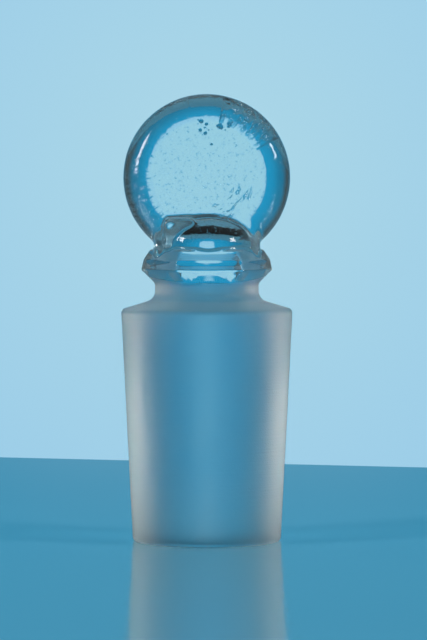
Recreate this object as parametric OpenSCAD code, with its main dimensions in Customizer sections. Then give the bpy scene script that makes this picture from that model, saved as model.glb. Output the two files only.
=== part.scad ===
// Solid pressed-glass stopper: a ground cone, a shoulder and a waist, a six-sided collar
// and a flat round head, all in one piece of glass.
// It stands on the small end of the cone. The cone's axis is +Z, the faces of the head
// look along -Y and +Y, and the origin is the middle of the face that it stands on.
// All sizes are in millimetres and all slopes in degrees.

/* [Ground cone] */
// Diameter of the cone at its large end
cone_d = 19.2; // [14.5:0.1:29.2]
// Length of the cone
cone_len = 26; // [20:1:40]
// Length of cone over which its diameter grows by 1 mm
taper = 10; // [8:0.5:20]
// Rounding of the edge that the stopper stands on
foot_round = 0.4; // [0.1:0.1:0.8]

/* [Shoulder and waist] */
// Rounding of the edge between the cone and the shoulder
shoulder_round = 0.5; // [0.1:0.1:0.8]
// Width of the shoulder, from the edge of the cone in to the waist
shoulder_w = 3.8; // [2:0.1:5]
// Slope of the shoulder from level
shoulder_slope = 17; // [5:1:24]
// Hollow rounding between the shoulder and the waist
shoulder_hollow = 1.2; // [0.2:0.1:1.4]
// Height of the collar's underside above the cone
waist_len = 3; // [2.8:0.1:8]
// Hollow rounding between the waist and the collar's underside
waist_hollow = 0.2; // [0.05:0.05:0.2]

/* [Collar] */
// How far the middle of each flat stands out past the waist
collar_lip = 0.55; // [0.4:0.05:2]
// How far each of the six corners is cut back from a sharp one
corner_cut = 0.13; // [0.05:0.01:0.4]
// Rounding of the collar's lower edge, which shows at the corners
under_round = 1.15; // [0.2:0.05:1.15]
// Height of the flats
flat_h = 2.7; // [1.5:0.1:5]
// Height of the steep bevel above the flats
bevel_h = 1.05; // [0.3:0.05:1.5]
// Slope of the steep bevel from upright
bevel_slope = 27; // [10:1:35]
// Height of the gentle bevel above the steep one
crown_h = 0.45; // [0.1:0.05:0.6]
// Slope of the gentle bevel from upright
crown_slope = 56; // [45:1:65]

/* [Head] */
// Diameter of the head
head_d = 18.7; // [15:0.1:28]
// Thickness of the head
head_t = 5.6; // [4:0.1:8]
// Rounding of the head's rim, which ends short of the middle of the rim
rim_round = 2.5; // [0.5:0.1:4]
// Depth to which the head's rim reaches down into the collar
head_sink = 1.8; // [1:0.1:2.5]
// Height above the collar of the dome that carries the head
dome_h = 3.8; // [3:0.1:5]
// How far the dome's widest round lies inside the collar's flats
dome_inset = 0.15; // [0.05:0.05:0.4]

/* [Hidden] */
$fn = 96;

SIDES = 6;
half_side = 180 / SIDES;

cone_r = cone_d / 2;
foot_r = cone_r - cone_len / taper / 2;
waist_r = cone_r - shoulder_w;
// Where the shoulder's slope would meet the waist if it had no hollow
shoulder_z = cone_len + shoulder_w * tan(shoulder_slope);

// Distance from the axis to the collar's flats, and to its corners
flat_r = waist_r + collar_lip;
corner_r = flat_r / cos(half_side) - corner_cut;
under_z = cone_len + waist_len;
bevel_z = under_z + flat_h;
crown_z = bevel_z + bevel_h;
crown_r = flat_r - bevel_h * tan(bevel_slope);
collar_z = crown_z + crown_h;

head_r = head_d / 2;
// Least flat left around the middle of the rim
RIM_FLAT = 0.2;
rim_r = min(rim_round, (head_t - RIM_FLAT) / 2);
head_z = collar_z + head_r - head_sink;
dome_r = flat_r - dome_inset;
dome_z = collar_z + dome_h - dome_r;

function unit(v) = v / norm(v);

// Half the angle at corner b of an outline that runs a, b, c
function half_angle(a, b, c) = acos(unit(a - b) * unit(c - b)) / 2;

// Whether an outline drawn counter-clockwise turns outwards at b
function is_outer(a, b, c) = cross(b - a, c - b) > 0;

// What lies between the corner b and its rounding, to be cut from an outer corner or
// added to an inner one. Its tip reaches past b, so no edge falls on the outline's own.
module corner_rest(a, b, c, r) {
    half = half_angle(a, b, c);
    middle = unit(unit(a - b) + unit(c - b));
    run = r / tan(half);
    difference() {
        polygon([b + unit(a - b) * run, b - middle * r / 2, b + unit(c - b) * run]);
        translate(b + middle * r / sin(half))
            circle(r);
    }
}

// The corner rests of a list of corners, either the outer or the inner ones
module corner_rests(corners, outer) {
    count = len(corners);
    flat = [for (p = corners) [p[0], p[1]]];
    for (i = [0:count - 1]) {
        a = flat[(i + count - 1) % count];
        b = flat[i];
        c = flat[(i + 1) % count];
        if (corners[i][2] > 0 && is_outer(a, b, c) == outer)
            corner_rest(a, b, c, corners[i][2]);
    }
}

// An outline from its corners [x, y, rounding], counter-clockwise
module outline(corners)
    difference() {
        union() {
            polygon([for (p = corners) [p[0], p[1]]]);
            corner_rests(corners, false);
        }
        corner_rests(corners, true);
    }

// Cone, shoulder and waist, which ends inside the collar
module turned_part()
    color("lightsteelblue")
    rotate_extrude()
    outline([
        [0, 0, 0],
        [foot_r, 0, foot_round],
        [cone_r, cone_len, shoulder_round],
        [waist_r, shoulder_z, shoulder_hollow],
        [waist_r, bevel_z, 0],
        [0, bevel_z, 0],
    ]);

// Ring that fills the hollow under the collar
module waist_ring()
    color("lightblue")
    rotate_extrude()
    translate([waist_r, under_z])
    corner_rest([0, -1], [0, 0], [1, 0], waist_hollow);

// Six blocks that cut the collar's sides from a radius r at height z, leaning in by slope
module side_cuts(r, z, slope)
    for (turn = [half_side:2 * half_side:360])
        rotate(turn)
            translate([r, 0, z])
                rotate([0, -slope, 0])
                    translate([0, -corner_r, 0])
                        cube([corner_r, 2 * corner_r, bevel_h + crown_h + flat_h]);

module collar()
    color("lightblue")
    difference() {
        rotate_extrude()
            outline([
                [0, under_z, 0],
                [corner_r, under_z, under_round],
                [corner_r, collar_z, 0],
                [0, collar_z, 0],
            ]);
        side_cuts(flat_r, under_z - flat_h, 0);
        side_cuts(flat_r, bevel_z, bevel_slope);
        side_cuts(crown_r, crown_z, crown_slope);
    }

// Dome on the collar that carries the head
module dome()
    color("lightblue")
    rotate_extrude()
    intersection() {
        translate([0, dome_z])
            circle(dome_r);
        translate([0, bevel_z])
            square([dome_r, collar_z + dome_h - bevel_z]);
    }

module head()
    color("lightblue")
    translate([0, 0, head_z])
        rotate([90, 0, 0])
            rotate_extrude()
            outline([
                [0, -head_t / 2, 0],
                [head_r, -head_t / 2, rim_r],
                [head_r, head_t / 2, rim_r],
                [0, head_t / 2, 0],
            ]);

module stopper()
    union() {
        turned_part();
        waist_ring();
        collar();
        dome();
        head();
    }

stopper();
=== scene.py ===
"""Looks of a solid pressed-glass stopper with a ground cone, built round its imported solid.

The stopper is one piece of glass, so it is one closed mesh. Cone, shoulder and waist are turned.
Collar, dome and head are pressed shapes that are run together, as hot glass runs in its mould,
and then take the waves, pits and wrinkles that pressing leaves. One finish dresses it all: bright
above, ground matt below, with the border between them that the real one has.
"""

import logging
import math
from collections.abc import Callable, Iterator
from contextlib import contextmanager
from dataclasses import dataclass, field
from enum import Enum
from typing import Any

import bmesh
import bpy
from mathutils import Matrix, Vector


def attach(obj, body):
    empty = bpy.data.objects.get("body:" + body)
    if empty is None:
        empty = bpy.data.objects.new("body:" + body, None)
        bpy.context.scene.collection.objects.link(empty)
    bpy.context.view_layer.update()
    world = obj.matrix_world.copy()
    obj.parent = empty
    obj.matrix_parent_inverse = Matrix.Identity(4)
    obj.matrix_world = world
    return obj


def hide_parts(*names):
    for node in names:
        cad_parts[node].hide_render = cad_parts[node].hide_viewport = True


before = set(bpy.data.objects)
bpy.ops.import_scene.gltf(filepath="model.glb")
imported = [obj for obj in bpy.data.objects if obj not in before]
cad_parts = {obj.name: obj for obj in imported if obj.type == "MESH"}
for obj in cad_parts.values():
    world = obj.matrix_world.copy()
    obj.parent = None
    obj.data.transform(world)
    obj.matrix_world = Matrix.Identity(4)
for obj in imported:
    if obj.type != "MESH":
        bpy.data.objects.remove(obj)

LOG = logging.getLogger("stopper")
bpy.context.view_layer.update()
NODE = "stopper"
MM = 0.001
HAIR = 1e-6
TINY_AREA = 1e-12
FACING = 0.9
WAIST_R = 5.8 * MM
HEAD_Z = 40.75 * MM

Number = float | int
Colour = tuple[float, float, float, float]
Pair = tuple[float, float]
Point = tuple[float, float, float]


class Join(Enum):
    """Ways in which one closed shape meets another."""

    ADD = "UNION"
    CUT = "DIFFERENCE"


# ---------------------------------------------------------------------------------------
# Working with meshes
# ---------------------------------------------------------------------------------------


def clear() -> None:
    """Deselect every object."""
    bpy.ops.object.select_all(action="DESELECT")


def only(piece: bpy.types.Object) -> None:
    """Select one object and nothing else, and make it the active one.

    Args:
        piece: The object.
    """
    clear()
    piece.select_set(True)
    bpy.context.view_layer.objects.active = piece


def fresh(name: str) -> bpy.types.Object:
    """Name the primitive that was just added and move its place into its mesh.

    Args:
        name: The object's new name.

    Returns:
        The object.
    """
    shape = bpy.context.object
    shape.name = name
    bpy.ops.object.transform_apply(location=True, rotation=True, scale=True)
    return shape


@contextmanager
def editing(piece: bpy.types.Object, domain: str = "FACE") -> Iterator[None]:
    """Hold one object in edit mode with nothing selected.

    Args:
        piece: The object to edit.
        domain: What is selected in edit mode: VERT, EDGE or FACE.
    """
    only(piece)
    bpy.ops.object.mode_set(mode="EDIT")
    bpy.ops.mesh.select_mode(type=domain)
    bpy.ops.mesh.select_all(action="DESELECT")
    try:
        yield
    finally:
        bpy.ops.object.mode_set(mode="OBJECT")


def unpicked(piece: bpy.types.Object) -> bmesh.types.BMesh:
    """Deselect all of the object in edit mode.

    Args:
        piece: The object being edited.

    Returns:
        The mesh being edited.
    """
    mesh = bmesh.from_edit_mesh(piece.data)
    for item in (*mesh.verts, *mesh.edges, *mesh.faces):
        item.select = False
    return mesh


def pick_faces(piece: bpy.types.Object, wanted: Callable[[Vector, Vector], bool]) -> None:
    """Select some faces of the object in edit mode, and nothing else.

    Args:
        piece: The object being edited.
        wanted: Tells from a face's centre and normal whether it is picked.
    """
    mesh = unpicked(piece)
    for face in mesh.faces:
        if wanted(face.calc_center_median(), face.normal):
            face.select_set(True)
    bmesh.update_edit_mesh(piece.data)


def pick_edges(piece: bpy.types.Object, wanted: Callable[[Vector, Vector], bool]) -> None:
    """Select some edges of the object in edit mode, and nothing else.

    Args:
        piece: The object being edited.
        wanted: Tells from an edge's two ends whether it is picked.
    """
    mesh = unpicked(piece)
    for edge in mesh.edges:
        if wanted(edge.verts[0].co, edge.verts[1].co):
            edge.select_set(True)
    bmesh.update_edit_mesh(piece.data)


def draw_out(height: float, scale: float = 1.0) -> None:
    """Extrude what is picked in edit mode straight up, and scale its new end about its middle.

    Args:
        height: How far up it goes.
        scale: Size of its new end, as a share of the old one.
    """
    bpy.ops.mesh.extrude_region_move(TRANSFORM_OT_translate={"value": (0, 0, height)})
    if scale != 1:
        bpy.ops.transform.resize(value=(scale, scale, 1))


def round_off(offset: float, segments: int) -> None:
    """Round the edges that are picked in edit mode."""
    bpy.ops.mesh.bevel(offset=offset, segments=segments, profile=0.5, affect="EDGES")


def cut_below(height: float, closed: bool = False) -> None:
    """Cut away all of the mesh in edit mode that lies below a height.

    Args:
        height: The height.
        closed: Whether the cut is closed with a face.
    """
    bpy.ops.mesh.select_all(action="SELECT")
    bpy.ops.mesh.bisect(plane_co=(0, 0, height), plane_no=(0, 0, 1), clear_inner=True, use_fill=closed)


def with_modifier(piece: bpy.types.Object, kind: str, **settings: Any) -> None:
    """Give an object a modifier and apply it.

    Args:
        piece: The object to change.
        kind: The modifier's type.
        settings: The modifier's own settings.
    """
    only(piece)
    modifier = piece.modifiers.new(kind.title(), kind)
    for name, value in settings.items():
        setattr(modifier, name, value)
    bpy.ops.object.modifier_apply(modifier=modifier.name)


def soften(piece: bpy.types.Object, passes: int, group: str = "") -> None:
    """Smooth a mesh a number of times, all over or as far as a vertex group says."""
    with_modifier(piece, "SMOOTH", factor=0.5, iterations=passes, vertex_group=group)


def meet(first: bpy.types.Object, second: bpy.types.Object, how: Join) -> None:
    """Add one closed shape to another, or cut it out, and use the second up.

    Args:
        first: The object that stays.
        second: The object that is used up.
        how: Whether it is added or cut.
    """
    with_modifier(first, "BOOLEAN", operation=how.value, solver="EXACT", object=second)
    bpy.data.objects.remove(second, do_unlink=True)


def weigh(piece: bpy.types.Object, name: str, weight: Callable[[Vector], float]) -> str:
    """Give an object's vertices a weight that depends on where they are.

    Args:
        piece: The object whose vertices are weighed.
        name: Name of the new vertex group.
        weight: Weight from 0 to 1 at a place.

    Returns:
        The group's name.
    """
    group = piece.vertex_groups.new(name=name)
    for vertex in piece.data.vertices:
        amount = weight(vertex.co)
        if amount > 0:
            group.add([vertex.index], min(amount, 1.0), "REPLACE")
    return name


def fade(value: float, start: float, end: float) -> float:
    """Run smoothly from 0 at start to 1 at end, whichever of the two is larger."""
    step = min(max((value - start) / (end - start), 0.0), 1.0)
    return step * step * (3 - 2 * step)


@dataclass(frozen=True)
class Level:
    """A range of heights with soft ends, open at the top if it has no upper end."""

    low: Pair
    high: Pair | None = None

    def weight(self, place: Vector) -> float:
        """Return how far a place lies inside the range, from 0 to 1."""
        return fade(place.z, *self.low) * (fade(place.z, *self.high) if self.high else 1.0)


def rounded_box(name: str, low: Point, high: Point, rounding: float) -> bpy.types.Object:
    """Make a box with rounded edges.

    Args:
        name: The object's name.
        low: Its lowest corner.
        high: Its highest corner.
        rounding: Radius of its edges.

    Returns:
        The mesh object.
    """
    middle = [(a + b) / 2 for a, b in zip(low, high)]
    size = [b - a for a, b in zip(low, high)]
    clear()
    bpy.ops.mesh.primitive_cube_add(size=1, location=middle, scale=size)
    box = fresh(name)
    with editing(box, "EDGE"):
        bpy.ops.mesh.select_all(action="SELECT")
        round_off(rounding, 6)
    return box


# ---------------------------------------------------------------------------------------
# Shader graphs as expressions
# ---------------------------------------------------------------------------------------


@dataclass(frozen=True)
class Wire:
    """An output socket that Python's operators work on."""

    graph: "Graph"
    socket: bpy.types.NodeSocket

    def _maths(self, operation: str, first: Any, second: Any = 0.0) -> "Wire":
        """Add a Math node for one operation."""
        return self.graph.add("ShaderNodeMath", {0: first, 1: second}, operation=operation)

    def __add__(self, other: "Wire | Number") -> "Wire":
        """Return self + other."""
        return self._maths("ADD", self, other)

    __radd__ = __add__

    def __mul__(self, other: "Wire | Number") -> "Wire":
        """Return self * other."""
        return self._maths("MULTIPLY", self, other)

    __rmul__ = __mul__

    def __sub__(self, other: "Wire | Number") -> "Wire":
        """Return self - other."""
        return self._maths("SUBTRACT", self, other)

    def __rsub__(self, other: "Wire | Number") -> "Wire":
        """Return other - self."""
        return self._maths("SUBTRACT", other, self)

    def __truediv__(self, other: "Wire | Number") -> "Wire":
        """Return self / other."""
        return self._maths("DIVIDE", self, other)

    def __pow__(self, other: "Wire | Number") -> "Wire":
        """Return self ** other."""
        return self._maths("POWER", self, other)

    def bearing(self, other: "Wire") -> "Wire":
        """Return the angle of the point (other, self), in radians."""
        return self._maths("ARCTAN2", self, other)

    def smooth(self, start: float, end: float, low: float = 0.0, high: float = 1.0) -> "Wire":
        """Run smoothly from low at start to high at end.

        Args:
            start: Value at which the result is low.
            end: Value at which the result is high.
            low: Result at start and beyond.
            high: Result at end and beyond.

        Returns:
            The mapped value.
        """
        values = {"Value": self, "From Min": start, "From Max": end, "To Min": low, "To Max": high}
        return self.graph.add("ShaderNodeMapRange", values, interpolation_type="SMOOTHSTEP")


@dataclass(frozen=True)
class Graph:
    """A node tree that is written as expressions."""

    tree: bpy.types.NodeTree

    def add(self, kind: str, values: dict[str | int, Any], out: str | int = 0, **settings: Any) -> Wire:
        """Add a node.

        Args:
            kind: The node's type.
            values: Inputs by name or number, each a wire or a plain value.
            out: The output that is wanted.
            settings: The node's own settings, which are set first.

        Returns:
            The wire that leaves the output.
        """
        node = self.tree.nodes.new(kind)
        for name, value in settings.items():
            setattr(node, name, value)
        for name, value in values.items():
            socket = node.inputs[name]
            if isinstance(value, Wire):
                self.tree.links.new(value.socket, socket)
            else:
                socket.default_value = value
        return Wire(self, node.outputs[out])

    def end(self, kind: str, surface: Wire) -> None:
        """Send a shader to a new output node of the given type."""
        self.tree.links.new(surface.socket, self.tree.nodes.new(kind).inputs["Surface"])

    def blend(self, share: Wire | Number, low: Wire | Colour, high: Wire | Colour) -> Wire:
        """Mix two colours.

        Args:
            share: How much of high is taken, from 0 to 1.
            low: Colour at 0.
            high: Colour at 1.

        Returns:
            The mixed colour.
        """
        return self.add("ShaderNodeMix", {0: share, 6: low, 7: high}, out=2, data_type="RGBA")

    def place(self) -> Wire:
        """Return the place on the object, in its own metres."""
        return self.add("ShaderNodeTexCoord", {}, out="Object")

    def parts(self, vector: Wire) -> tuple[Wire, Wire, Wire]:
        """Split a vector into its three numbers."""
        node = self.add("ShaderNodeSeparateXYZ", {0: vector}).socket.node
        return tuple(Wire(self, socket) for socket in node.outputs)

    def vector(self, x: Wire | Number, y: Wire | Number, z: Wire | Number) -> Wire:
        """Put three numbers together as a vector."""
        return self.add("ShaderNodeCombineXYZ", {0: x, 1: y, 2: z})

    def noise(self, vector: Wire, pitch: float, detail: float = 2.0, twist: float = 0.0) -> Wire:
        """Smooth noise from 0 to 1.

        Args:
            vector: Where the noise is read.
            pitch: Size of its features, in the vector's unit.
            detail: How many finer layers it has.
            twist: How far it is pulled about.

        Returns:
            The noise.
        """
        values = {"Vector": vector, "Scale": 1 / pitch, "Detail": detail, "Distortion": twist}
        return self.add("ShaderNodeTexNoise", values)

    def stretched(self, vector: Wire, scale: Point) -> Wire:
        """Stretch a pattern's coordinates by a factor for each axis."""
        return self.add("ShaderNodeMapping", {"Vector": vector, "Scale": scale})


def new_material(name: str) -> tuple[bpy.types.Material, Graph]:
    """Make an empty material.

    Args:
        name: The material's name.

    Returns:
        The material and its graph.
    """
    material = bpy.data.materials.new(name)
    material.use_nodes = True
    material.node_tree.nodes.clear()
    return material, Graph(material.node_tree)


# ---------------------------------------------------------------------------------------
# The finish
# ---------------------------------------------------------------------------------------


@dataclass(frozen=True)
class Grain:
    """Even noise over a surface; what its depth measures depends on its use."""

    size: float
    detail: float
    twist: float
    depth: float

    def pattern(self, graph: Graph, place: Wire) -> Wire:
        """Return the noise at a place, from 0 to 1."""
        return graph.noise(place, self.size, self.detail, self.twist)


@dataclass(frozen=True)
class Streaks:
    """Streaks in the head, strongest towards one side of it and gone at an angle from there."""

    aim: Pair
    full_angle: float
    end_angle: float
    rate: float
    length: float
    grain: Grain

    def pattern(self, graph: Graph, turn: Wire, reach: Wire, inward: Wire | Number) -> Wire:
        """Noise that is fine round the head and long across it.

        Args:
            graph: The material's graph.
            turn: Angle round the middle of the head, in radians.
            reach: Distance from the middle of the head.
            inward: Depth in the head, in the noise's own unit.

        Returns:
            The noise, from 0 to 1.
        """
        return self.grain.pattern(graph, graph.vector(turn * self.rate, reach / self.length, inward))

    def depth(self, x: Wire, up: Wire, reach: Wire) -> Wire:
        """Depth of the streaks at a place.

        Args:
            x: Distance to the right of the middle of the head.
            up: Height above the middle of the head.
            reach: Distance from the middle of the head.

        Returns:
            The depth, in millimetres.
        """
        towards = (x * self.aim[0] + up * self.aim[1]) / reach
        end, full = (math.cos(math.radians(angle)) for angle in (self.end_angle, self.full_angle))
        return towards.smooth(end, full) * self.grain.depth


@dataclass(frozen=True)
class StopperGlass:
    """Pressed glass, bright above a border and ground matt below it."""

    bright_tint: Colour = (0.80, 0.97, 1.0, 1.0)
    ground_tint: Colour = (0.46, 0.82, 0.92, 1.0)
    cloud_tint: Colour = (0.55, 0.87, 0.94, 1.0)
    # Painted light: the ground glass is tinted paler towards the foot so the cone's bottom reads
    # brighter, standing in for the brighter light near the table.
    painted_foot_light_tint: Colour = (0.92, 0.96, 0.95, 1.0)
    painted_foot_light_reach: float = 10 * MM
    painted_foot_light_share: float = 0.8
    ior: float = 1.5
    bright_rough: float = 0.03
    ground_rough: float = 0.5
    groove_rough: float = 0.08
    sheen: float = 0.4
    sheen_rough: float = 0.5
    border_front: float = 29.05 * MM
    border_rise: float = 0.2 * MM
    border_slant: float = 0.07
    border_y: float = -6 * MM
    border_blur: float = 0.12 * MM
    peel: Grain = Grain(0.8 * MM, 3.0, 0.6, 0.02)
    specks: Grain = Grain(0.30 * MM, 2.0, 0.3, 0.014)
    speck_range: Pair = (0.62, 0.78)
    skin_from: Pair = (33.0 * MM, 35.0 * MM)
    clouds: Grain = Grain(3 * MM, 3.0, 0.0, 0.12)
    grit: Grain = Grain(0.16 * MM, 2.0, 0.0, 0.02)
    grooves: Grain = Grain(0.22 * MM, 3.0, 0.0, 0.02)
    groove_stretch: Point = (0.03, 0.03, 1.0)
    ribs: Streaks = Streaks((-0.94, -0.34), 18, 34, 9.0, 3 * MM, Grain(0.8, 3.0, 0.6, 0.35))
    folds: Streaks = Streaks((0.59, 0.81), 22, 25, 9.0, 2.5 * MM, Grain(0.85, 3.0, 0.8, 0.6))
    flow: Streaks = Streaks((0.68, -0.73), 20, 42, 1.4, 0.9 * MM, Grain(0.42, 2.0, 0.4, 0.06))
    flow_range: Pair = (0.55, 0.68)
    flow_inside: Pair = (2.6 * MM, 3.4 * MM)
    flow_outside: Pair = (5.8 * MM, 4.6 * MM)
    rim: Pair = (6.0 * MM, 7.0 * MM)
    rim_depth: float = 4 * MM
    front: Pair = (0.5 * MM, -0.5 * MM)

    def _ground(self, x: Wire, y: Wire, z: Wire) -> Wire:
        """Tell where the glass is ground: the border rises to the sides and the back.

        Args:
            x: Distance to the right of the axis.
            y: Distance behind the axis.
            z: Height.

        Returns:
            1 where it is ground and 0 where it is bright.
        """
        sideways = x * x / (x * x + y * y + TINY_AREA)
        height = z - sideways * self.border_rise - (y - self.border_y) * self.border_slant
        return height.smooth(self.border_front + self.border_blur, self.border_front - self.border_blur)

    def _skin(self, graph: Graph, place: Wire, z: Wire) -> Wire:
        """Relief of the bright glass: slight waves and specks, on the dome and the head.

        Args:
            graph: The material's graph.
            place: Place on the stopper.
            z: Height.

        Returns:
            The relief, in millimetres.
        """
        specks = self.specks.pattern(graph, place).smooth(*self.speck_range)
        relief = self.peel.pattern(graph, place) * self.peel.depth - specks * self.specks.depth
        return relief * z.smooth(*self.skin_from)

    def _marks(self, graph: Graph, x: Wire, y: Wire, z: Wire) -> Wire:
        """Relief of the head: ribs and folds on its rim, and curved flow lines in its face.

        Args:
            graph: The material's graph.
            x: Distance to the right of the axis.
            y: Distance behind the axis.
            z: Height.

        Returns:
            The relief, in millimetres.
        """
        up = z - HEAD_Z
        reach = (x * x + up * up + TINY_AREA) ** 0.5
        turn = up.bearing(x)
        inward = y / self.rim_depth
        ribs = self.ribs.pattern(graph, turn, reach, inward) * self.ribs.depth(x, up, reach)
        folds = self.folds.pattern(graph, turn, reach, inward) * self.folds.depth(x, up, reach)
        lines = self.flow.pattern(graph, turn, reach, 0.0).smooth(*self.flow_range)
        ring = reach.smooth(*self.flow_inside) * reach.smooth(*self.flow_outside)
        flow = lines * self.flow.depth(x, up, reach) * ring
        return ((ribs + folds) * reach.smooth(*self.rim) - flow) * y.smooth(*self.front)

    def material(self) -> bpy.types.Material:
        """Make the finish's material.

        Returns:
            The material.
        """
        material, graph = new_material("stopper_glass")
        place = graph.place()
        x, y, z = graph.parts(place)
        ground = self._ground(x, y, z)
        clouds = self.clouds.pattern(graph, place)
        grit = self.grit.pattern(graph, place)
        grooves = self.grooves.pattern(graph, graph.stretched(place, self.groove_stretch))
        bright_relief = self._skin(graph, place, z) + self._marks(graph, x, y, z)
        ground_relief = grit * self.grit.depth + grooves * self.grooves.depth
        relief = bright_relief * (1 - ground) + ground_relief * ground
        normal = graph.add("ShaderNodeBump", {"Strength": 1.0, "Distance": MM, "Height": relief})
        uneven = (clouds - 0.5) * self.clouds.depth + (grooves - 0.5) * self.groove_rough
        worn = (self.ground_rough - self.bright_rough) + uneven
        matt_tint = graph.blend(clouds, self.ground_tint, self.cloud_tint)
        # Painted light: a paler tint towards the foot makes the cone brighter near the table, as light
        # falling there would.
        painted_foot_light = z.smooth(self.painted_foot_light_reach, 0.0, 0.0, self.painted_foot_light_share)
        matt_tint = graph.blend(painted_foot_light, matt_tint, self.painted_foot_light_tint)
        surface = graph.add(
            "ShaderNodeBsdfPrincipled",
            {
                "Base Color": graph.blend(ground, self.bright_tint, matt_tint),
                "Roughness": ground * worn + self.bright_rough,
                "IOR": self.ior,
                "Transmission Weight": 1.0,
                "Sheen Weight": self.sheen,
                "Sheen Roughness": self.sheen_rough,
                "Normal": normal,
            },
        )
        graph.end("ShaderNodeOutputMaterial", surface)
        return material


# ---------------------------------------------------------------------------------------
# The stopper
# ---------------------------------------------------------------------------------------


@dataclass
class TurnedPart:
    """Cone, shoulder and waist, as turned rings, open at the top."""

    foot_r: float = 8.3 * MM
    cone_r: float = 9.6 * MM
    cone_len: float = 26 * MM
    foot_round: float = 0.4 * MM
    shoulder_round: float = 0.4 * MM
    shoulder_z: float = 27.16 * MM
    hollow: float = 0.87 * MM
    top_z: float = 28.45 * MM
    sides: int = 192

    def build(self) -> bpy.types.Object:
        """Turn the part.

        Returns:
            The mesh object.
        """
        clear()
        bpy.ops.mesh.primitive_circle_add(vertices=self.sides, radius=self.foot_r, fill_type="NGON")
        part = fresh("turned_part")
        rings = ((self.cone_len, self.cone_r), (self.shoulder_z, WAIST_R), (self.top_z, WAIST_R))
        rounds = (
            (0.0, self.foot_round, 4),
            (self.cone_len, self.shoulder_round, 4),
            (self.shoulder_z, self.hollow, 8),
        )
        with editing(part):
            bpy.ops.mesh.select_all(action="SELECT")
            low, radius = 0.0, self.foot_r
            for height, wide in rings:
                draw_out(height - low, wide / radius)
                low, radius = height, wide
            bpy.ops.mesh.delete(type="ONLY_FACE")
            for level, width, steps in rounds:
                pick_edges(part, lambda a, b: abs(a.z - level) < HAIR and abs(b.z - level) < HAIR)
                round_off(width, steps)
        return part


@dataclass(frozen=True)
class Waves:
    """Unevenness of a skin of glass that set against cool metal."""

    name: str
    size: float
    depth: float

    def press(self, part: bpy.types.Object) -> None:
        """Push the skin in and out, as far as the vertex group with the waves' name says.

        Args:
            part: The mesh object.
        """
        pattern = bpy.data.textures.new(self.name, "CLOUDS")
        pattern.noise_scale = self.size
        with_modifier(
            part,
            "DISPLACE",
            texture=pattern,
            texture_coords="LOCAL",
            strength=self.depth,
            mid_level=0.5,
            vertex_group=self.name,
        )


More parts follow.
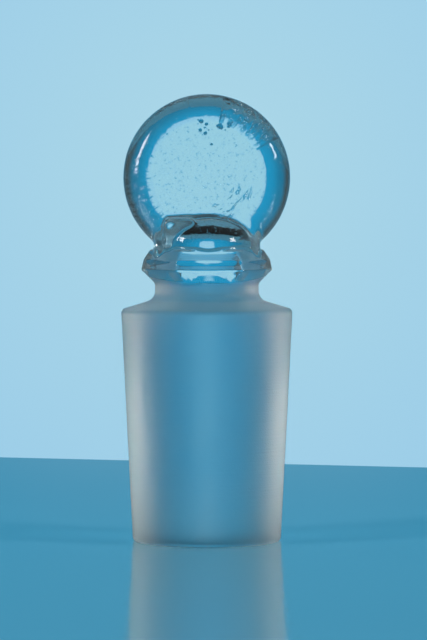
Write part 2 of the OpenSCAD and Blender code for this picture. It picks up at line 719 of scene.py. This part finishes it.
@dataclass
class PressedPart:
    """Collar, dome and head, run together in one skin that is open at the waist."""

    waist_low: float = 27.8 * MM
    under_z: float = 28.9 * MM
    belt: tuple[Pair, ...] = (
        (30.45 * MM, 6.42 * MM),
        (31.62 * MM, 6.18 * MM),
        (32.72 * MM, 5.54 * MM),
    )
    flare: float = 0.62 * MM
    under_sides: int = 48
    belt_sides: int = 6
    corner_round: float = 0.16 * MM
    corner_h: float = 0.3 * MM
    round_sides: int = 128
    dome_r: float = 5.65 * MM
    dome_deep: float = 5.58 * MM
    dome_z: float = 33.3 * MM
    dome_h: float = 3.5 * MM
    head_r: float = 9.35 * MM
    head_t: float = 5.6 * MM
    rim_round: float = 3.2 * MM
    rim_flat: float = 0.08 * MM
    rim_steps: int = 14
    rim_sides: int = 160
    web_half: Pair = (5.9 * MM, 2.78 * MM)
    web_z: Pair = (31.2 * MM, 36.6 * MM)
    web_round: float = 1.1 * MM
    fold_low: Point = (-5.0 * MM, -4.1 * MM, 33.0 * MM)
    fold_high: Point = (-1.5 * MM, -1.0 * MM, 36.3 * MM)
    fold_round: float = 0.6 * MM
    voxel: float = 0.14 * MM
    cut_z: float = 28.6 * MM
    soft: tuple[tuple[str, int, Level], ...] = (
        ("flare", 12, Level((28.8 * MM, 29.1 * MM), (30.35 * MM, 30.15 * MM))),
        ("top", 4, Level((33.0 * MM, 33.8 * MM))),
        ("root", 24, Level((32.6 * MM, 33.6 * MM), (38.0 * MM, 36.8 * MM))),
    )
    broad: Waves = Waves("broad_waves", 2.6 * MM, 0.05 * MM)
    broad_level: Level = Level((32.8 * MM, 34.3 * MM))
    fine: Waves = Waves("fine_waves", 0.6 * MM, 0.012 * MM)
    fine_level: Level = Level((33.5 * MM, 35.0 * MM))
    wrinkles: Waves = Waves("wrinkles", 0.5 * MM, 0.7 * MM)
    chill_start: Pair = (30, 42)
    chill_end: Pair = (79, 76)
    chill_reach: Pair = (6.3 * MM, 7.0 * MM)
    chill_depth: Pair = (-0.5 * MM, -1.5 * MM)

    def _on_corner(self, one: Vector, other: Vector) -> bool:
        """Tell whether an edge runs up a corner of the belt.

        Args:
            one: One end of the edge.
            other: Its other end.

        Returns:
            Whether it does.
        """
        side = math.degrees(math.atan2(one.y, one.x)) / (360 / self.belt_sides)
        above = min(one.z, other.z) > self.belt[0][0] - HAIR
        return above and abs(one.z - other.z) > self.corner_h and abs(side - round(side)) < 0.01

    def collar(self) -> bpy.types.Object:
        """Make the six-sided collar: its belt leans in a little, and it is bevelled above.

        Returns:
            The mesh object.
        """
        height, radius = self.belt[0]
        corner_r = radius / math.cos(math.pi / self.belt_sides)
        loops = []
        for corners, wide, level in (
            (self.under_sides, WAIST_R, self.under_z),
            (self.belt_sides, corner_r, height),
        ):
            clear()
            bpy.ops.mesh.primitive_circle_add(
                vertices=corners,
                radius=wide,
                fill_type="NGON",
                location=(0, 0, level),
                rotation=(0, 0, math.pi / 2),
            )
            loops.append(fresh("collar"))
        under, collar = loops
        with editing(collar, "EDGE"):
            bpy.ops.mesh.select_all(action="SELECT")
            bpy.ops.mesh.subdivide(number_cuts=self.under_sides // self.belt_sides - 1)
        only(collar)
        under.select_set(True)
        bpy.ops.object.join()
        with editing(collar):
            bpy.ops.mesh.select_all(action="SELECT")
            bpy.ops.mesh.bridge_edge_loops()
            bpy.ops.mesh.select_all(action="SELECT")
            bpy.ops.mesh.normals_make_consistent(inside=False)
            pick_faces(collar, lambda centre, normal: normal.z > FACING)
            for level, flat in self.belt[1:]:
                draw_out(level - height, flat / radius)
                height, radius = level, flat
            pick_edges(collar, self._on_corner)
            round_off(self.corner_round, 3)
        return collar

    def waist(self) -> bpy.types.Object:
        """Make the top of the waist, which flares out to the belt and runs on inside the collar.

        Returns:
            The mesh object.
        """
        level, top = self.belt[0][0], self.belt[1][0]
        clear()
        bpy.ops.mesh.primitive_cylinder_add(
            vertices=self.round_sides,
            radius=WAIST_R,
            depth=self.under_z - self.waist_low,
            location=(0, 0, (self.under_z + self.waist_low) / 2),
        )
        waist = fresh("waist_top")
        with editing(waist):
            pick_faces(waist, lambda centre, normal: normal.z > FACING)
            wide = 1 + self.flare / WAIST_R
            draw_out(level - self.under_z, wide)
            draw_out(top - level, 1 / wide)
        return waist

    def dome(self) -> bpy.types.Object:
        """Make the dome that carries the head, upright at its foot.

        Returns:
            The mesh object.
        """
        clear()
        bpy.ops.mesh.primitive_uv_sphere_add(
            segments=self.round_sides,
            ring_count=self.round_sides // 2,
            radius=1,
            scale=(self.dome_r, self.dome_deep, self.dome_h),
            location=(0, 0, self.dome_z),
        )
        dome = fresh("dome")
        with editing(dome):
            cut_below(self.dome_z, closed=True)
            pick_faces(dome, lambda centre, normal: normal.z < -FACING)
            draw_out(self.belt[1][0] - self.dome_z)
        return dome

    def head(self) -> bpy.types.Object:
        """Make the flat round head, its rim rounded to an ellipse.

        Returns:
            The mesh object.
        """
        thick = 2 * self.rim_round + self.rim_flat
        clear()
        bpy.ops.mesh.primitive_cylinder_add(
            vertices=self.rim_sides,
            radius=self.head_r,
            depth=thick,
            location=(0, 0, HEAD_Z),
            rotation=(math.pi / 2, 0, 0),
        )
        head = fresh("head")
        with editing(head):
            pick_edges(head, lambda a, b: a.y * b.y > 0)
            round_off(self.rim_round, self.rim_steps)
            bpy.ops.mesh.select_all(action="SELECT")
            bpy.ops.transform.resize(value=(1, self.head_t / thick, 1))
        return head

    def web(self) -> bpy.types.Object:
        """Make the flat web where the head runs down into the dome."""
        (wide, deep), (low, high) = self.web_half, self.web_z
        return rounded_box("web", (-wide, -deep, low), (wide, deep, high), self.web_round)

    def fold(self) -> bpy.types.Object:
        """Make the squarish fold of glass on the dome, low on the front."""
        return rounded_box("fold", self.fold_low, self.fold_high, self.fold_round)

    def build(self) -> bpy.types.Object:
        """Run the shapes together.

        Returns:
            The mesh object.
        """
        part = self.collar()
        for shape in (self.waist(), self.dome(), self.head(), self.web(), self.fold()):
            meet(part, shape, Join.ADD)
        part.name = "pressed_part"
        with_modifier(part, "REMESH", mode="VOXEL", voxel_size=self.voxel, use_smooth_shade=True)
        soften(part, 2)
        for name, passes, level in self.soft:
            soften(part, passes, weigh(part, name, level.weight))
        self.take_waves(part)
        with editing(part):
            cut_below(self.cut_z)
        return part

    def _chill(self, place: Vector) -> float:
        """Tell how strongly the rim is wrinkled, which it is high on one side of the front.

        Args:
            place: A place on the part.

        Returns:
            The strength, from 0 to 1.
        """
        up = place.z - HEAD_Z
        turn = math.degrees(math.atan2(up, place.x))
        patch = fade(turn, *self.chill_start) * fade(turn, *self.chill_end)
        reach = fade(math.hypot(place.x, up), *self.chill_reach)
        return patch * reach * fade(place.y, *self.chill_depth)

    def take_waves(self, part: bpy.types.Object) -> None:
        """Give the pressed skin its waves, and the chilled part of the rim its wrinkles.

        Args:
            part: The mesh object.
        """
        weights = (
            (self.broad, self.broad_level.weight),
            (self.fine, self.fine_level.weight),
            (self.wrinkles, self._chill),
        )
        for waves, weight in weights:
            weigh(part, waves.name, weight)
        for waves, weight in weights:
            waves.press(part)


@dataclass
class Pits:
    """Small open bubbles in the front of the head, each as its place and radius in millimetres."""

    face_y: float = -2.8 * MM
    proud: float = 0.06 * MM
    steep: float = 1.3
    sides: int = 7
    margin: float = 0.02
    flattest: float = 0.85
    places: tuple[Point, ...] = (
        (-0.73, 6.27, 0.30),
        (-0.17, 5.94, 0.22),
        (-0.84, 5.26, 0.22),
        (-0.28, 4.93, 0.24),
        (1.20, 5.74, 0.30),
        (1.46, 5.62, 0.32),
        (1.36, 5.90, 0.22),
        (2.42, 5.98, 0.36),
        (2.74, 6.20, 0.26),
        (2.30, 5.66, 0.20),
        (-1.05, 6.42, 0.14),
        (0.10, 5.30, 0.12),
        (1.95, 5.30, 0.12),
        (-0.35, 5.55, 0.13),
        (0.40, 3.70, 0.18),
    )

    def holds(self, centre: Vector, normal: Vector) -> bool:
        """Tell whether a face is the wall of a bubble.

        Args:
            centre: The face's centre.
            normal: Its normal.

        Returns:
            Whether it is.
        """
        if abs(centre.y - self.face_y) > 1 * MM or normal.y < -self.flattest:
            return False
        return any(
            math.hypot(centre.x - across * MM, centre.z - HEAD_Z - up * MM) < (radius + self.margin) * MM
            for across, up, radius in self.places
        )

    def cut(self, part: bpy.types.Object) -> None:
        """Cut the bubbles out of the part.

        Args:
            part: The mesh object that holds the head.
        """
        for across, up, radius in self.places:
            clear()
            depth = radius * self.steep * MM
            bpy.ops.mesh.primitive_cone_add(
                vertices=self.sides,
                radius1=radius * MM,
                depth=depth,
                location=(across * MM, self.face_y - self.proud + depth / 2, HEAD_Z + up * MM),
                rotation=(-math.pi / 2, across, 0),
            )
            meet(part, fresh("bubble"), Join.CUT)


@dataclass
class Stopper:
    """The whole stopper."""

    turned: TurnedPart = field(default_factory=TurnedPart)
    pressed: PressedPart = field(default_factory=PressedPart)
    pits: Pits = field(default_factory=Pits)
    glass: StopperGlass = field(default_factory=StopperGlass)

    def build(self) -> bpy.types.Object:
        """Build the stopper's mesh.

        Returns:
            The mesh object.
        """
        upper = self.pressed.build()
        lower = self.turned.build()
        only(lower)
        upper.select_set(True)
        bpy.ops.object.join()
        lower.name = lower.data.name = "glass_stopper"
        with editing(lower, "EDGE"):
            bpy.ops.mesh.select_non_manifold(extend=False)
            bpy.ops.mesh.bridge_edge_loops()
            bpy.ops.mesh.select_all(action="SELECT")
            bpy.ops.mesh.normals_make_consistent(inside=False)
        self.pits.cut(lower)
        only(lower)
        bpy.ops.object.shade_smooth()
        with editing(lower):
            pick_faces(lower, self.pits.holds)
            bpy.ops.mesh.faces_shade_flat()
        return lower

    def dress(self, piece: bpy.types.Object) -> None:
        """Give the stopper its finish."""
        piece.data.materials.clear()
        piece.data.materials.append(self.glass.material())


# ---------------------------------------------------------------------------------------
# The studio
# ---------------------------------------------------------------------------------------


@dataclass(frozen=True)
class SoftBox:
    """A soft rectangular lamp that faces the stopper's axis."""

    name: str
    bearing: float
    away: float
    height: float
    size: Pair
    power: float
    tint: Point = (1.0, 1.0, 1.0)
    spread: float = 180
    aim_top: float = 31 * MM

    def hang(self, side: int, label: str) -> None:
        """Hang the lamp.

        Args:
            side: -1 on the left of the stopper, 1 on its right.
            label: The side's name.
        """
        data = bpy.data.lights.new(f"{label}_{self.name}", "AREA")
        data.shape = "RECTANGLE"
        data.size, data.size_y = self.size
        data.energy = self.power
        data.color = self.tint
        data.spread = math.radians(self.spread)
        lamp = bpy.data.objects.new(data.name, data)
        turn = math.radians(side * self.bearing)
        lamp.location = (math.sin(turn) * self.away, -math.cos(turn) * self.away, self.height)
        aim = Vector((0, 0, min(self.height, self.aim_top)))
        lamp.rotation_euler = (aim - lamp.location).to_track_quat("-Z", "Y").to_euler()
        lamp.visible_camera = False
        bpy.context.collection.objects.link(lamp)


@dataclass
class Studio:
    """Table, soft light and the camera."""

    table_back: float = 0.110
    table_turn: float = math.radians(-19)
    table_size: Point = (1.2, 0.8, 0.01)
    table_colour: Colour = (0.28, 0.72, 0.95, 1.0)
    table_rough: float = 0.12
    pale: Colour = (0.41, 0.68, 0.80, 1.0)
    pale_edge: Colour = (0.33, 0.61, 0.81, 1.0)
    near: Colour = (0.012, 0.31, 0.55, 1.0)
    deep: Colour = (0.012, 0.19, 0.33, 1.0)
    room: Colour = (0.05, 0.068, 0.075, 1.0)
    glow_middle: Pair = (0.044, -0.04)
    glow_narrow: Pair = (138, 100)
    glow_edge: Pair = (2.0, 0.8)
    glow_fall: float = 9.0
    wall_blend: Pair = (0.12, 0.5)
    room_blend: Pair = (0.5, 0.85)
    front_blend: Pair = (0.2, -0.3)
    boxes: tuple[SoftBox, ...] = (
        SoftBox("front_box", 63, 0.453, 0.241, (0.10, 0.16), 0.7),
        SoftBox("low_box", 118, 0.16, 0.011, (0.10, 0.018), 0.0042, (1.0, 0.84, 0.70), 8),
        SoftBox("edge_box", 110, 0.16, 0.027, (0.05, 0.006), 0.0008, (1.0, 0.84, 0.70), 5),
    )
    camera_distance: float = 0.4
    camera_height: float = 0.0413
    camera_turn: float = math.radians(-2.5)
    aim_z: float = 0.0248
    aim_x: float = 0.00075
    frame_height: float = 0.0717

    def table(self) -> None:
        """Make the table top, its back edge just behind the stopper."""
        thick = self.table_size[2]
        back = self.table_back * math.cos(self.table_turn)
        clear()
        bpy.ops.mesh.primitive_cube_add(size=1, scale=self.table_size)
        top = fresh("table_top")
        with editing(top, "VERT"):
            bpy.ops.mesh.select_all(action="SELECT")
            bpy.ops.transform.translate(value=(0, back - self.table_size[1] / 2, -thick / 2))
        top.rotation_euler.z = self.table_turn
        only(top)
        bpy.ops.object.transform_apply(location=True, rotation=True, scale=True)
        material, graph = new_material("table_paint")
        paint = {"Base Color": self.table_colour, "Roughness": self.table_rough}
        graph.end("ShaderNodeOutputMaterial", graph.add("ShaderNodeBsdfPrincipled", paint))
        top.data.materials.append(material)

    def surroundings(self) -> None:
        """Light the room: a pale glow straight behind, blue about it, dim grey in front."""
        world = bpy.data.worlds.new("studio")
        bpy.context.scene.world = world
        world.use_nodes = True
        world.node_tree.nodes.clear()
        graph = Graph(world.node_tree)
        x, y, z = graph.parts(graph.add("ShaderNodeTexCoord", {}, out="Generated"))
        across, up = x - self.glow_middle[0], z - self.glow_middle[1]
        wide, tall = across * across * self.glow_narrow[0], up * up * self.glow_narrow[1]
        glow = (wide * wide + tall * tall).smooth(*self.glow_edge)
        aside = (x * x + z * z) ** 0.5
        wall = graph.blend(aside.smooth(*self.wall_blend), self.near, self.deep)
        wall = graph.blend(aside.smooth(*self.room_blend), wall, self.room)
        fall = (across * across + z * z) ** 0.5 * self.glow_fall
        behind = graph.blend(glow, wall, graph.blend(fall, self.pale, self.pale_edge))
        colour = graph.blend(y.smooth(*self.front_blend), behind, self.room)
        graph.end("ShaderNodeOutputWorld", graph.add("ShaderNodeBackground", {"Color": colour}))

    def camera(self) -> None:
        """Set up the camera."""
        data = bpy.data.cameras.new("camera")
        data.lens = data.sensor_width * self.camera_distance / self.frame_height
        camera = bpy.data.objects.new("camera", data)
        back = Vector((math.sin(self.camera_turn), -math.cos(self.camera_turn), 0))
        aside = Vector((-back.y, back.x, 0)) * self.aim_x
        camera.location = back * self.camera_distance + aside + Vector((0, 0, self.camera_height))
        aim = aside + Vector((0, 0, self.aim_z))
        camera.rotation_euler = (aim - camera.location).to_track_quat("-Z", "Y").to_euler()
        bpy.context.collection.objects.link(camera)
        bpy.context.scene.camera = camera

    def build(self) -> None:
        """Set the whole studio up."""
        self.table()
        self.surroundings()
        for side, label in ((-1, "left"), (1, "right")):
            for box in self.boxes:
                box.hang(side, label)
        self.camera()
        bpy.context.scene.view_settings.view_transform = "Standard"


def main() -> None:
    """Build the studio and the stopper."""
    logging.basicConfig(level=logging.INFO, format="%(message)s")
    Studio().build()
    stopper = Stopper()
    piece = stopper.build()
    stopper.dress(piece)
    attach(piece, "root")
    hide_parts(NODE)
    triangles = sum(len(polygon.vertices) - 2 for polygon in piece.data.polygons)
    LOG.info("%s: %d triangles", piece.name, triangles)


if __name__ == "__main__":
    main()
